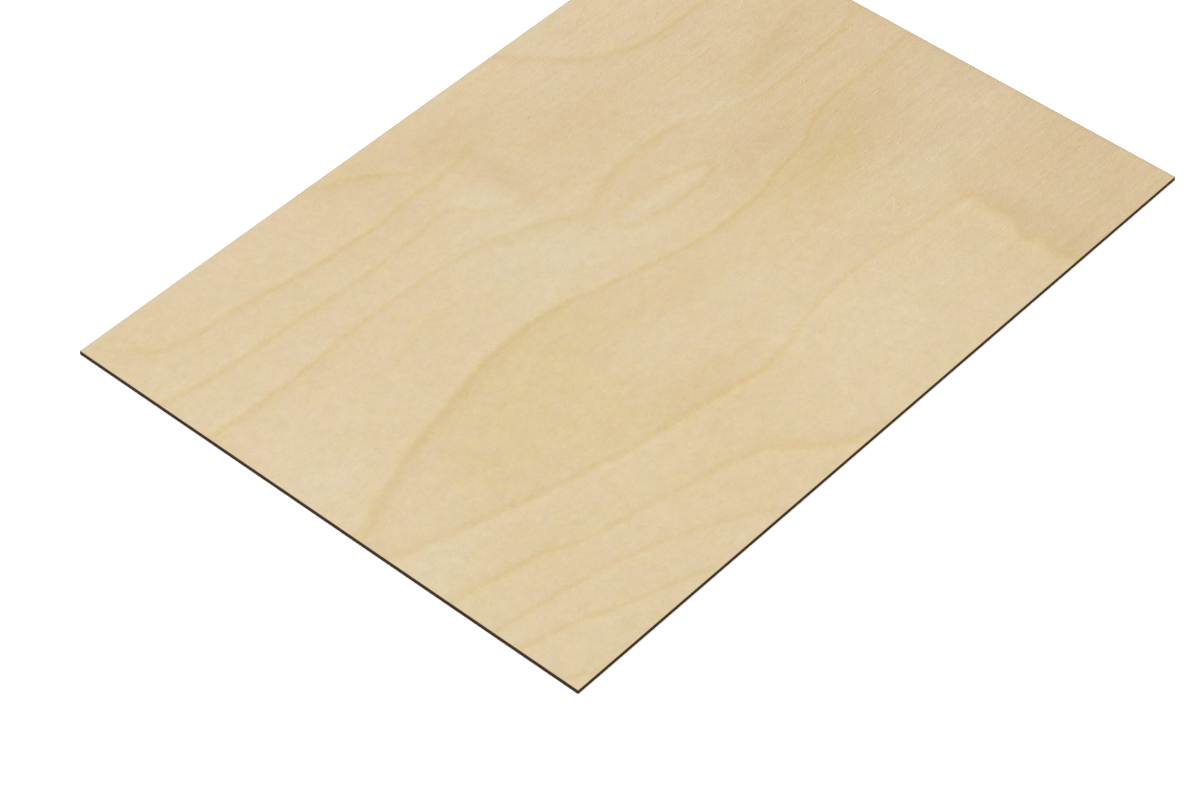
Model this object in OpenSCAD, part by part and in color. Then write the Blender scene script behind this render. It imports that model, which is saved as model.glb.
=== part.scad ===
// Thin birch plywood sheet, laser cut to A4 for craft and model work.
//
// One bonded piece of stock: the veneers are glued into a single board, so the
// sheet is a single solid. It lies face up on its back face.
//
// Frame: origin at the middle of the back face, +Z up out of the good face,
// +X along the long side, which is also the way the face grain runs,
// +Y along the short side. Millimetres.

/* [Sheet] */
// Length along the face grain
sheet_length = 297; // [100:1:1220]
// Width across the face grain
sheet_width = 210; // [74:1:1220]
// Thickness over all plies
sheet_thickness = 1.5; // [0.8:0.1:6.5]

/* [Corners] */
// Radius of the four outline corners, where the heat of the cut eases them
corner_radius = 0.2; // [0.1:0.05:3]

/* [Hidden] */
$fn = 48;

// Centres of the corner arcs
corner_x = sheet_length / 2 - corner_radius;
corner_y = sheet_width / 2 - corner_radius;

// Outline of the cut blank: a rectangle whose corners are true arcs
module outline() {
    union() {
        square([sheet_length - 2 * corner_radius, sheet_width], center = true);
        square([sheet_length, sheet_width - 2 * corner_radius], center = true);
        for (sx = [-1, 1], sy = [-1, 1])
            translate([sx * corner_x, sy * corner_y])
                circle(r = corner_radius);
    }
}

// The board itself, standing on its back face
module plywood_sheet() {
    color([0.88, 0.80, 0.66])
        linear_extrude(height = sheet_thickness)
            outline();
}

plywood_sheet();
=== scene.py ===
"""Looks of the thin birch plywood sheet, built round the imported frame.

All lengths below are in millimetres in the part's frame (X along the grain, Y across it, Z up out of the good face) and
are turned into metres where the mesh, the camera and the lights are made.
"""

import math

import bpy
import numpy as np
from mathutils import Matrix, Vector


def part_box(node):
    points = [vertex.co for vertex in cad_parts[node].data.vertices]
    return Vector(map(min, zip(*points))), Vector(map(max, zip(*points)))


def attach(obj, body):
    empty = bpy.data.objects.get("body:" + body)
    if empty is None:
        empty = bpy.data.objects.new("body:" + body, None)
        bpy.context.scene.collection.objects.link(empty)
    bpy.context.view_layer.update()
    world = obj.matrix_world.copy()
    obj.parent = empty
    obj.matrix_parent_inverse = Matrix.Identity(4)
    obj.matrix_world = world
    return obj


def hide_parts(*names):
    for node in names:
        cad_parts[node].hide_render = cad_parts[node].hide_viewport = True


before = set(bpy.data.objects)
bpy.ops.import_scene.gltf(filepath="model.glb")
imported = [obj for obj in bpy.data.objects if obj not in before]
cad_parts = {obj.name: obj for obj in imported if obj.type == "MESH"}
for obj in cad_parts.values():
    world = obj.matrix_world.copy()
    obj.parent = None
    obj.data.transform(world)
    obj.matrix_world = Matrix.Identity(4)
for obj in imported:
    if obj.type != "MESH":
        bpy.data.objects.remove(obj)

MM = 0.001
PIECE, NODE, SLOT = "birch_sheet", "plywood_sheet", "birch_veneer"
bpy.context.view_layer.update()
low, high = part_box(NODE)
LX, LY = (high.x - low.x) / 2 / MM, (high.y - low.y) / 2 / MM
TOP = high.z / MM
scene = bpy.context.scene


# ---------------------------------------------------------------------------------------------------------------------
# Camera, light and floor
# ---------------------------------------------------------------------------------------------------------------------
def make_camera():
    data = bpy.data.cameras.new("camera")
    data.sensor_fit, data.sensor_width, data.lens = "HORIZONTAL", 36.0, 115.15
    data.clip_start, data.clip_end = 0.05, 60.0
    cam = bpy.data.objects.new("camera", data)
    scene.collection.objects.link(cam)
    right = Vector((0.661564, -0.749868, 0.005538))
    down = Vector((-0.531998, -0.474529, -0.701285))
    ahead = Vector((0.528499, 0.460999, -0.712859))
    turn = Matrix((right, -down, -ahead)).transposed()
    cam.matrix_world = Matrix.Translation(Vector((-686.63, -581.94, 852.59)) * MM) @ turn.to_4x4()
    scene.camera = cam


def make_light():
    world = bpy.data.worlds.new("studio")
    scene.world = world
    world.use_nodes = True
    nodes, links = world.node_tree.nodes, world.node_tree.links
    nodes.clear()
    back = nodes.new("ShaderNodeBackground")
    back.inputs["Color"].default_value = (1.0, 1.0, 1.0, 1.0)
    back.inputs["Strength"].default_value = 1.02
    out = nodes.new("ShaderNodeOutputWorld")
    links.new(back.outputs[0], out.inputs[0])

    key = bpy.data.lights.new("softbox", "SUN")
    key.energy, key.angle, key.color = 0.62, math.radians(50), (1.0, 1.0, 1.0)
    lamp = bpy.data.objects.new("softbox", key)
    scene.collection.objects.link(lamp)
    lamp.rotation_euler = Vector((-0.75, 0.55, 1.25)).to_track_quat("Z", "Y").to_euler()
    scene.view_settings.view_transform = "Standard"
    scene.view_settings.look = "None"


def make_floor():
    data = bpy.data.meshes.new("floor")
    rings, spokes, verts, faces = [0.4, 1.2, 4.0, 12.0, 40.0], 48, [(0.0, 0.0, 0.0)], []
    for r in rings:
        verts += [(r * math.cos(2 * math.pi * i / spokes), r * math.sin(2 * math.pi * i / spokes), 0.0) for i in range(spokes)]
    faces += [(0, 1 + i, 1 + (i + 1) % spokes) for i in range(spokes)]
    for k in range(len(rings) - 1):
        a, b = 1 + k * spokes, 1 + (k + 1) * spokes
        faces += [(a + i, b + i, b + (i + 1) % spokes, a + (i + 1) % spokes) for i in range(spokes)]
    data.from_pydata(verts, [], faces)
    floor = bpy.data.objects.new("floor", data)
    scene.collection.objects.link(floor)
    mat = bpy.data.materials.new("floor_white")
    mat.use_nodes = True
    p = mat.node_tree.nodes["Principled BSDF"]
    p.inputs["Base Color"].default_value = (0.93, 0.93, 0.93, 1.0)
    p.inputs["Roughness"].default_value = 1.0
    p.inputs["Specular IOR Level"].default_value = 0.0
    p.inputs["Emission Color"].default_value = (1.0, 1.0, 1.0, 1.0)
    p.inputs["Emission Strength"].default_value = 0.30  # a lit table: it swallows all but a trace of the contact shadow
    data.materials.append(mat)


# ---------------------------------------------------------------------------------------------------------------------
# The figure of the face veneer: growth-ring lines as they run on a rotary-cut birch face.
# Each line is (set, crisp side, [(x, y, strength, width, shade), ...]). The crisp side is +1 where the sharp flank is to
# the left of travel. Shade is how dark the soft flank stays. Lines of one set never come near each other where both show,
# so a vertex needs only its nearest one.
# ---------------------------------------------------------------------------------------------------------------------
LINES = [
    # upper left, running off the left end
    ("ring_a", +1, [(-138, 95, 0.0, 1.6, 0.1), (-136, 91, 0.9, 1.7, 0.1), (-130, 85, 1.0, 1.3, 0.15), (-118, 82.5, 1.0, 1.0, 0.1),
                    (-100, 81, 1.2, 1.0, 0.1), (-75, 77, 1.3, 1.0, 0.1), (-60, 76, 1.2, 1.0, 0.1), (-43, 75, 1.1, 1.0, 0.1),
                    (-25, 76, 0.9, 1.0, 0.1), (-10, 76, 1.0, 1.2, 0.1), (0, 78, 1.1, 1.3, 0.1), (5, 80, 0.3, 1.5, 0.0)]),
    ("ring_b", +1, [(-150, 69, 1.2, 1.0, 0.0), (-140, 67, 1.2, 1.0, 0.0), (-128, 65, 1.1, 1.0, 0.0), (-95, 63.5, 1.1, 1.0, 0.0),
                    (-75, 62, 1.1, 1.0, 0.0), (-60, 61.5, 1.2, 1.0, 0.0), (-40, 62, 1.1, 1.0, 0.0), (-27, 63.5, 0.9, 0.9, 0.0),
                    (-20.5, 61, 0.8, 0.9, 0.0), (-18, 56.5, 0.7, 0.8, 0.0), (-12.5, 51, 0.7, 0.8, 0.0), (-6.5, 48.5, 0.7, 0.9, 0.0),
                    (4, 47, 0.5, 1.0, 0.0), (20, 46.5, 0.0, 1.2, 0.0)]),
    ("ring_a", +1, [(-150, 47.5, 1.3, 1.0, 0.15), (-128, 46, 1.2, 1.0, 0.15), (-108, 46, 1.1, 1.0, 0.15), (-80, 47.5, 1.1, 1.0, 0.1),
                    (-68, 47, 1.0, 1.0, 0.1), (-52, 46.5, 1.0, 1.0, 0.1), (-40, 45.5, 0.9, 1.0, 0.1), (-30, 43.5, 0.9, 1.1, 0.1),
                    (-20, 40.5, 0.9, 1.2, 0.1), (-10, 37, 0.9, 1.3, 0.15), (-4, 33.5, 0.9, 1.4, 0.2), (3, 29.5, 0.9, 1.5, 0.2),
                    (9.5, 28.8, 0.8, 1.5, 0.2), (17.5, 32.5, 0.8, 1.5, 0.15), (25.5, 34.5, 0.9, 1.4, 0.15), (40, 36, 1.0, 1.3, 0.15),
                    (52, 35.5, 1.0, 1.3, 0.15), (62, 33.5, 0.7, 1.3, 0.2), (70, 30, 0.5, 1.3, 0.2), (76, 27.5, 0.5, 1.2, 0.2),
                    (84, 24.5, 0.6, 1.2, 0.2), (92, 23, 0.8, 1.0, 0.2), (100, 23, 0.8, 0.9, 0.15), (120, 24, 0.8, 0.9, 0.1),
                    (132, 24.5, 0.9, 0.9, 0.1), (140, 26.5, 0.9, 0.9, 0.1), (150, 28.5, 0.9, 0.9, 0.1)]),
    # the strong one across the middle
    ("ring_a", +1, [(-150, -16.5, 1.2, 2.2, 0.5), (-140, -14, 1.2, 2.0, 0.5), (-132, -10, 1.2, 1.7, 0.5), (-122, -7, 1.2, 1.5, 0.45),
                    (-112, -3.5, 1.2, 1.4, 0.45), (-102, -0.5, 1.2, 1.3, 0.45), (-92, 1, 1.2, 1.3, 0.5), (-82, 3.5, 1.3, 1.3, 0.5),
                    (-72, 5.5, 1.3, 1.3, 0.5), (-62, 7, 1.3, 1.3, 0.45), (-50, 7.5, 1.3, 1.2, 0.35), (-40, 7, 1.3, 1.2, 0.25),
                    (-30, 5.5, 1.3, 1.1, 0.15), (-22, 2.5, 1.2, 1.0, 0.1), (-12, 0, 1.2, 1.0, 0.1), (-4, -2, 1.2, 1.0, 0.1),
                    (4, -4.2, 1.2, 1.0, 0.1), (11, -5.5, 1.2, 1.0, 0.1), (21, -8, 1.2, 1.0, 0.1), (36, -8.4, 1.2, 1.0, 0.1),
                    (52, -8, 1.2, 1.0, 0.1), (62, -5.4, 1.1, 1.0, 0.1), (72, -4, 1.0, 0.9, 0.1), (80, -2.4, 1.0, 0.9, 0.1),
                    (88, 1, 1.2, 0.9, 0.1), (96, 3.5, 1.3, 0.9, 0.1), (103, 5, 1.2, 0.9, 0.1), (112, 4.8, 0.9, 0.9, 0.1), (122, 4.6, 0.8, 0.9, 0.1),
                    (132, 5, 1.0, 0.9, 0.1), (150, 6.8, 1.0, 0.9, 0.1)]),
    # below it, bending down across the grain at its right end
    ("ring_b", -1, [(-150, -28, 1.1, 1.4, 0.3), (-140, -31.5, 1.0, 1.4, 0.3), (-128, -35.5, 1.0, 1.3, 0.3), (-118, -38, 1.1, 1.2, 0.3),
                    (-108, -41, 1.1, 1.2, 0.3), (-100, -43.5, 1.1, 1.2, 0.3), (-90, -46.5, 1.1, 1.2, 0.25), (-80, -48.5, 1.1, 1.2, 0.25),
                    (-68, -51.5, 1.1, 1.2, 0.25), (-56, -53.5, 1.3, 1.3, 0.25), (-44, -55, 1.4, 1.4, 0.25), (-34, -56.5, 1.5, 1.4, 0.25),
                    (-24, -58.5, 1.4, 1.3, 0.2), (-16, -60, 1.2, 1.2, 0.15), (-8, -60.5, 1.1, 1.1, 0.1), (2, -59.4, 1.0, 1.0, 0.1),
                    (12, -57, 1.0, 1.0, 0.1), (22, -55, 1.0, 1.0, 0.1), (32, -54, 1.0, 0.9, 0.1), (44, -53.5, 1.1, 0.9, 0.1),
                    (56, -54.2, 1.0, 0.9, 0.1), (72, -56.6, 1.0, 0.9, 0.1), (82, -57.4, 0.8, 1.0, 0.1), (90, -58.2, 0.7, 1.2, 0.2),
                    (94.5, -59.2, 0.7, 1.3, 0.3), (97.8, -61.5, 0.7, 1.4, 0.4), (97.5, -64.5, 0.7, 1.5, 0.4), (95.5, -67.5, 0.7, 1.6, 0.4),
                    (96.5, -70.5, 0.7, 1.6, 0.4), (98, -73.5, 0.7, 1.8, 0.4), (97, -77, 0.7, 1.8, 0.4), (94, -80.5, 0.7, 1.8, 0.4),
                    (92, -83.5, 0.6, 1.8, 0.4), (91.7, -86.6, 0.6, 1.8, 0.4), (94.8, -89.6, 0.7, 1.6, 0.4), (95.4, -92.5, 0.7, 1.6, 0.4),
                    (93, -95.5, 0.7, 1.6, 0.4), (93.4, -99.5, 0.7, 1.6, 0.4), (95.2, -103, 0.7, 1.7, 0.4), (95, -107, 0.7, 1.7, 0.4)]),
    # lower left, a family running down to the near side
    ("ring_a", -1, [(-150, -54.5, 1, 1.0, 0.1), (-140, -55.5, 0.9, 1.0, 0.1), (-130, -58, 0.8, 1.0, 0.1), (-122, -59.5, 0.9, 1.0, 0.1),
                    (-114, -61.5, 1, 1.0, 0.1), (-107, -65, 1, 1.0, 0.1), (-100, -67.5, 0.8, 1.0, 0.1), (-90, -70, 0.8, 1.0, 0.1),
                    (-80, -72, 0.8, 1.0, 0.1), (-68, -74.5, 0.8, 1.0, 0.1), (-58, -77, 0.9, 1.0, 0.1), (-48, -79.5, 0.9, 1.1, 0.15),
                    (-39, -82.5, 1.1, 1.3, 0.25), (-32, -88, 1.1, 1.6, 0.35), (-26, -94, 1.1, 1.7, 0.35), (-20, -99, 1, 1.7, 0.3),
                    (-8, -103.5, 0.8, 1.6, 0.2), (-2, -106, 0.7, 1.6, 0.2)]),
    ("ring_c", -1, [(-150, -71, 1.1, 0.9, 0.1), (-136, -73.5, 1.0, 0.9, 0.1), (-124, -75.5, 1.0, 0.9, 0.1), (-112, -78, 1.0, 0.9, 0.1),
                    (-100, -81, 1.0, 0.9, 0.1), (-90, -84, 1.1, 0.9, 0.1), (-80, -88.5, 1.0, 0.9, 0.1), (-70, -93.5, 0.9, 0.9, 0.1),
                    (-62, -97, 1.0, 1.0, 0.1), (-56, -102, 0.9, 1.1, 0.1), (-53, -106, 0.8, 1.2, 0.1)]),
    ("ring_b", -1, [(-150, -81, 1.1, 1.0, 0.1), (-138, -84, 1.1, 1.0, 0.1), (-128, -87, 1.1, 1.0, 0.1), (-118, -91.5, 1.1, 1.0, 0.1),
                    (-108, -95, 1.0, 0.9, 0.1), (-98, -98.5, 0.9, 0.9, 0.1), (-86, -103, 0.8, 0.9, 0.1), (-80, -106, 0.7, 0.9, 0.1)]),
    ("ring_c", -1, [(-150, -98.5, 0.9, 1.0, 0.2), (-144, -101, 0.9, 1.0, 0.2), (-138, -104, 0.9, 1.1, 0.2), (-134, -106, 0.9, 1.2, 0.2)]),
    # the tongue at the top: its return line
    ("ring_c", -1, [(4, 80, 0.5, 1.5, 0.1), (-2, 81.6, 0.5, 1.4, 0.1), (-8, 83.2, 0.35, 1.3, 0.1), (-14, 84.2, 0.3, 1.2, 0.1), (-19.5, 85.6, 0.7, 0.9, 0.1),
                    (-24, 89.5, 0.9, 0.9, 0.1), (-29, 94, 0.9, 1.1, 0.1), (-35, 97.8, 0.7, 1.5, 0.2), (-42, 100.5, 0.6, 1.9, 0.3), (-47, 106, 0.6, 2.2, 0.3)]),
    # the closed eye
    ("ring_c", +1, [(8.3, 17.0, 0.8, 1.3, 0.1), (10.6, 20.2, 0.8, 1.3, 0.1), (17, 22, 0.8, 1.3, 0.1), (26, 22, 0.7, 1.3, 0.1), (36, 20.5, 0.7, 1.2, 0.1),
                    (45, 17.5, 0.8, 1.2, 0.15), (51, 14.8, 0.9, 1.2, 0.2), (51.8, 13.0, 0.9, 1.1, 0.2), (49.5, 11.4, 0.9, 1.0, 0.15), (43, 10.3, 1.0, 1.0, 0.1),
                    (32, 9.8, 1.0, 1.0, 0.1), (20, 10.8, 1.0, 1.1, 0.1), (12, 13.2, 0.9, 1.2, 0.1), (8.8, 15.4, 0.8, 1.3, 0.1), (8.3, 17.0, 0.8, 1.3, 0.1)]),
    # upper right
    ("ring_b", +1, [(42.4, 107, 0.9, 1.3, 0.2), (46.4, 100, 1.0, 1.3, 0.2), (50.4, 95.3, 1.0, 1.3, 0.2), (54.5, 90.3, 1.0, 1.5, 0.3), (60, 82.5, 1.0, 1.6, 0.3),
                    (66.3, 77.6, 1.0, 1.6, 0.3), (73.2, 74.6, 1.1, 1.5, 0.3), (81.3, 71.2, 1.2, 1.3, 0.25), (91, 69.8, 1.2, 1.2, 0.2), (104, 69.8, 1.0, 1.1, 0.15),
                    (116, 69, 0.9, 1.1, 0.1), (132, 70, 0.8, 1.1, 0.1), (150, 73, 0.7, 1.2, 0.1)]),
    ("ring_b", +1, [(84, 35, 0.0, 1.4, 0.0), (90, 35.5, 0.4, 1.4, 0.1), (99.5, 36, 0.5, 1.3, 0.15), (110, 38, 0.5, 1.2, 0.15), (120, 41, 0.6, 1.1, 0.1),
                    (132, 43, 0.6, 1.0, 0.1), (150, 47, 0.6, 1.0, 0.1)]),
    # faint, on the left
    ("ring_b", +1, [(-150, 17, 0.0, 2.0, 0.0), (-138, 18, 0.15, 2.0, 0.05), (-108, 20, 0.2, 2.0, 0.05), (-98, 26, 0.25, 2.0, 0.05),
                    (-80, 29, 0.25, 2.0, 0.05), (-60, 30.5, 0.25, 1.8, 0.05), (-46, 33, 0.0, 1.8, 0.0)]),
]
REACH = 11.0  # how far from its line a vertex still takes part in it

# Broad colour drift of the veneer: (channel, x, y, half length, half width, tilt in degrees, amount)
# tan is the deeper wood, gold the yellower, pale the creamy grey-green sapwood, pink the rosier. The first tan patch
# makes the whole far end, towards +X, darker, and the tan patch at x = -150 makes the whole left end lighter.
PATCHES = [
    ("tan", 155, 0, 70, 200, 0, 0.70),
    ("tan", 60, 60, 60, 42, 0, 0.35),
    ("tan", 126, -94, 28, 26, 0, 0.35),
    ("tan", 138, -62, 22, 16, 0, 0.20),
    ("tan", 92, -8, 42, 16, 0, 0.50),
    ("tan", 1, 62, 5, 12, 0, 0.55),
    ("tan", 102, -80, 7, 26, 0, 0.38),
    ("tan", 90, -76, 4, 20, 0, -0.40),
    ("tan", 0, -86, 60, 20, 0, -0.12),
    ("tan", 4, 86, 18, 11, 0, 0.45),
    ("tan", -25, 97, 26, 10, 0, 0.20),
    ("tan", -45, 70, 25, 8, 0, 0.15),
    ("tan", -20, -10, 36, 12, -8, 0.20),
    ("tan", -30, -50, 30, 6, -8, 0.25),
    ("tan", 112, 34, 30, 14, 10, 0.28),
    ("tan", 68, 32, 9, 4, -20, -0.20),
    ("tan", 43, 15, 8, 3.5, -10, -0.45),
    ("tan", 26, 16, 16, 3.5, -4, -0.20),
    ("tan", -33, 82, 6, 15, 0, 0.30),
    ("tan", 16, -58, 20, 12, 0, -0.18),
    ("tan", -74, -60, 20, 18, 0, -0.15),
    ("tan", -124, -59, 10, 3, -10, 0.22),
    ("tan", -108, 20, 26, 12, 10, -0.15),
    ("tan", 33, -5, 8, 4, 0, 0.20),
    ("tan", 148, -20, 6, 80, 0, 0.20),
    ("tan", 108, -33, 22, 5, 0, 0.28),
    ("tan", 58, -47, 24, 4.5, 0, 0.22),
    ("tan", 100, -100, 14, 5, 0, 0.28),
    ("tan", 22, 45, 20, 4.5, 0, 0.20),
    ("tan", -17, 58, 5, 6, 20, -0.22),
    ("tan", -142, 97, 10, 9, 0, 0.25),
    ("tan", 110, 71, 14, 6, 0, 0.22),
    ("tan", 145, 100, 60, 60, 0, -0.40),
    ("tan", 62, 11, 24, 10, 0, 0.40),
    ("tan", 30, 62, 26, 10, 0, 0.20),
    ("tan", 34, 28, 26, 5, 0, 0.20),
    ("tan", -150, 0, 26, 160, 0, -0.20),
    ("gold", -28, -27, 11, 6, 0, -0.30),
    ("gold", -28, -48, 24, 10, -8, 0.50),
    ("gold", -6, -14, 22, 9, -14, 0.45),
    ("gold", 4, -20, 15, 8, 0, 0.50),
    ("gold", -96, -5, 12, 4, 10, -0.45),
    ("gold", -134, -3, 16, 5, 14, 0.40),
    ("gold", 75, -10, 5, 8, 0, -0.35),
    ("gold", 108, -6, 10, 4, 0, 0.35),
    ("gold", 83, -40.6, 6, 2.4, 32, 0.60),
    ("gold", 24, -21, 5, 8, 0, -0.30),
    ("gold", 85, -16, 28, 9, 0, 0.60),
    ("gold", 68, -12, 36, 13, 0, 0.45),
    ("gold", 55, -26, 30, 14, 0, 0.30),
    ("gold", 28, 60, 18, 8, 0, 0.20),
    ("gold", 50, 62, 14, 9, -10, 0.35),
    ("gold", 104, 33, 18, 4, 5, 0.45),
    ("gold", -4, 90, 14, 5, 0, 0.45),
    ("gold", -28, 98, 12, 7, -20, 0.60),
    ("gold", 90, -80, 5, 26, 0, 0.75),
    ("gold", -60, -72, 60, 6, -14, 0.60),
    ("gold", -118, -66, 14, 5, -10, 0.55),
    ("gold", -120, -57, 20, 4, -8, 0.25),
    ("gold", -118, -74, 18, 4, -10, 0.30),
    ("gold", -20, -69, 24, 6, 0, 0.60),
    ("gold", -16, -61, 36, 3.5, 0, 0.40),
    ("gold", -56, -92, 14, 7, -30, 0.35),
    ("gold", -130, 92, 12, 7, -25, 0.30),
    ("gold", 96, 64, 24, 5, 0, -0.45),
    ("gold", 52, 90, 6, 9, -50, -0.35),
    ("gold", 72, 29, 14, 6, -20, -0.45),
    ("gold", 132, -47, 18, 6, 0, -0.50),
    ("gold", -35, -48, 28, 6, -6, 0.35),
    ("gold", 128, -15, 22, 7, 0, -0.75),
    ("gold", 84, 9, 22, 7, 5, 0.40),
    ("gold", 60, 76, 16, 10, 0, -0.50),
    ("gold", -44, -90, 26, 14, 0, 0.35),
    ("gold", -110, -48, 36, 6, -14, 0.25),
    ("gold", 48, 13, 4, 2, 0, 0.50),
    ("pale", -17, 65, 4, 5.5, 0, 0.85),
    ("pale", -9.5, 57, 4, 7, 20, 1.20),
    ("pale", -18, 46, 12, 4, -30, 1.10),
    ("pale", -35, 33, 14, 8, -35, 0.50),
    ("pale", -30, 15, 9, 9, -40, 0.45),
    ("pale", -104, 50, 46, 2.5, 0, 0.25),
    ("pale", -14, 24, 14, 10, -45, 0.75),
    ("pale", 54, 38.5, 14, 1.6, -8, 0.35),
    ("pale", 6, 10, 12, 6, -20, 0.65),
    ("pale", 70, 47, 10, 4, -25, 0.60),
    ("pale", 94, -40, 11, 7, 5, 0.80),
    ("pale", 28, 15.5, 17, 3.5, -6, 0.50),
    ("pale", -140, -40, 18, 9, -15, 0.80),
    ("pale", -110, 55, 45, 3.5, 0, 0.25),
    ("pale", -140, 6, 16, 16, 0, 0.80),
    ("pale", 6, -56, 10, 5, 0, 0.40),
    ("pale", 35, -84, 60, 20, 0, 0.25),
    ("pale", -130, 32, 20, 8, 0, 0.35),
    ("pale", -85, 96, 30, 9, 0, 0.35),
    ("pale", 66, 94, 30, 12, 0, 0.35),
    ("pale", 80, 30, 14, 3, -22, 0.50),
    ("pale", 130, -32, 24, 9, 0, 0.90),
    ("pale", 145, 2, 12, 14, 0, 0.35),
    ("pale", 12, -28, 14, 7, -30, 0.40),
    ("pale", 34, -70, 10, 6, 40, 0.30),
    ("pink", -20, 98, 150, 14, 0, 0.20),
    ("pink", -90, 34, 50, 14, 0, 0.20),
    ("pink", 40, 27, 24, 6, 0, 0.30),
    ("pink", 120, 15, 30, 8, 0, 0.25),
    ("pink", 112, -24, 20, 8, 0, 0.30),
    ("pink", 118, -66, 18, 12, 0, 0.30),
    ("pink", -32, 15, 7, 9, 0, -0.45),
    ("pink", -140, -28, 12, 7, 0, 0.45),
    ("pink", -142, 35, 10, 6, 0, 0.45),
    ("pink", -147, -62, 5, 22, 0, -0.50),
    ("pink", -20, 30, 20, 10, -30, -0.55),
    ("pink", -140, -40, 18, 9, -15, -0.35),
    ("pink", 98, -41, 8, 5, 0, -0.40),
    ("pink", 128, -38, 14, 7, 0, 0.40),
    ("pink", 34, -39, 16, 4, 0, -0.35),
    ("pink", 52, 68, 22, 6, 0, 0.35),
    ("pink", 87, 0.8, 4.5, 1.6, 18, 0.80),
    ("pink", 101, 5, 3, 1.5, 0, 0.60),
    ("pink", 49.5, 11.5, 1.5, 1.0, 0, 0.80),
    ("pink", -104, -98, 46, 10, 0, -0.25),
    ("pink", -20, -96, 30, 9, 0, 0.25),
    ("pink", -60, -70, 60, 8, -14, -0.25),
]


def catmull(points, step=0.8):
    """A smooth run through the control points, at about one sample each step, whatever else a point carries."""
    p = np.array(points, float)
    p = np.vstack([2 * p[0] - p[1], p, 2 * p[-1] - p[-2]])
    p[0, 2:], p[-1, 2:] = p[1, 2:], p[-2, 2:]
    out = []
    for a, b, c, d in zip(p[:-3], p[1:-2], p[2:-1], p[3:]):
        n = max(2, int(np.hypot(*(c - b)[:2]) / step))
        t = np.linspace(0, 1, n, endpoint=False)[:, None]
        out.append(0.5 * (2 * b + (c - a) * t + (2 * a - 5 * b + 4 * c - d) * t**2 + (3 * b - a - 3 * c + d) * t**3))
    return np.vstack(out + [p[-2:-1]])


def smooth(x):
    x = np.clip(x, 0, 1)
    return x * x * (3 - 2 * x)


def ring_fields(x, y):
    """For each set: distance to its nearest line over that line's width (positive on the crisp side), its strength there
    and its soft flank's shade, both faded out at REACH."""
    fields = {name: np.zeros((len(x), 3)) for name in ("ring_a", "ring_b", "ring_c")}
    nearest = {name: np.full(len(x), 1e9) for name in fields}
    for name, side, points in LINES:
        run = catmull(points)
        a, b = run[:-1], run[1:]
        d = b[:, :2] - a[:, :2]
        length = np.maximum((d**2).sum(1), 1e-9)
        near = np.flatnonzero(
            (x > run[:, 0].min() - REACH) & (x < run[:, 0].max() + REACH)
            & (y > run[:, 1].min() - REACH) & (y < run[:, 1].max() + REACH)
        )
        for part in np.array_split(near, max(1, len(near) // 4000)):
            if not len(part):
                continue
            rx, ry = x[part, None] - a[None, :, 0], y[part, None] - a[None, :, 1]
            t = np.clip((rx * d[:, 0] + ry * d[:, 1]) / length, 0, 1)
            gap = (rx - t * d[:, 0]) ** 2 + (ry - t * d[:, 1]) ** 2
            k = gap.argmin(1)
            row = np.arange(len(part))
            dist, tk = np.sqrt(gap[row, k]), t[row, k]
            left = np.sign(d[k, 0] * ry[row, k] - d[k, 1] * rx[row, k])
            strength, width, shade_k = (a[k, i] + tk * (b[k, i] - a[k, i]) for i in (2, 3, 4))
            c = dist < nearest[name][part]
            at = part[c]
            nearest[name][at] = dist[c]
            fade = smooth((REACH - dist[c]) / 4.5)
            fields[name][at] = np.stack([left[c] * side * dist[c] / width[c], strength[c] * fade, shade_k[c] * fade], 1)
    return fields


def pocket(x, y):
    """The even golden wood that the two strong lines hold between them: 1 inside, fading out to the right."""
    roof, bed = (np.interp(x, *np.array(LINES[k][2][:16])[:, :2].T) for k in (3, 4))
    left, right = -119 + 0.10 * np.abs(y + 22) ** 1.3, -34 + 0.5 * (y + 18)
    return smooth((roof - y + 1.5) / 4) * smooth((y - bed - 2) / 7) * smooth((x - left) / 16) * smooth((right - x) / 34 + 0.5)


def drift_fields(x, y):
    """The four channels of PATCHES at each vertex, and the pocket's gold."""
    out = {"tan": np.zeros(len(x)), "gold": np.zeros(len(x)), "pale": np.zeros(len(x)), "pink": np.zeros(len(x))}
    for channel, px, py, hx, hy, tilt, amount in PATCHES:
        c, s = math.cos(math.radians(tilt)), math.sin(math.radians(tilt))
        u, v = (x - px) * c + (y - py) * s, -(x - px) * s + (y - py) * c
        out[channel] += amount * np.exp(-((u / hx) ** 2 + (v / hy) ** 2) * 0.9)
    inside = pocket(x, y)
    out["gold"] += 0.95 * inside
    out["pink"] -= 0.25 * inside
    return np.stack([out["tan"], out["gold"], out["pale"]], 1), np.stack([out["pink"]] * 3, 1)


# ---------------------------------------------------------------------------------------------------------------------
# Mesh of the sheet: two fine faces, softened arrises and a beam-cut wall, closed and joined without gaps
# ---------------------------------------------------------------------------------------------------------------------
TABLE = np.random.default_rng(20417).random((64, 64))


def lattice(u, v):
    """Smooth value noise in 0..1 on a wrapped 64 x 64 table."""
    iu, iv = np.floor(u).astype(int), np.floor(v).astype(int)
    fu, fv = smooth(u - iu), smooth(v - iv)
    a, b = TABLE[iu % 64, iv % 64], TABLE[(iu + 1) % 64, iv % 64]
    c, d = TABLE[iu % 64, (iv + 1) % 64], TABLE[(iu + 1) % 64, (iv + 1) % 64]
    return (a * (1 - fu) + b * fu) * (1 - fv) + (c * (1 - fu) + d * fu) * fv


def profile(u):
    """Cross-section of a ring line: 1 at its middle, steep on the positive side."""
    return np.where(u > 0, np.exp(-((u / 0.62) ** 2)), np.exp(-((u / 1.35) ** 2)))


ARRIS = 0.14  # how far the softened arris reaches into the face
CORNER = 0.2


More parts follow.
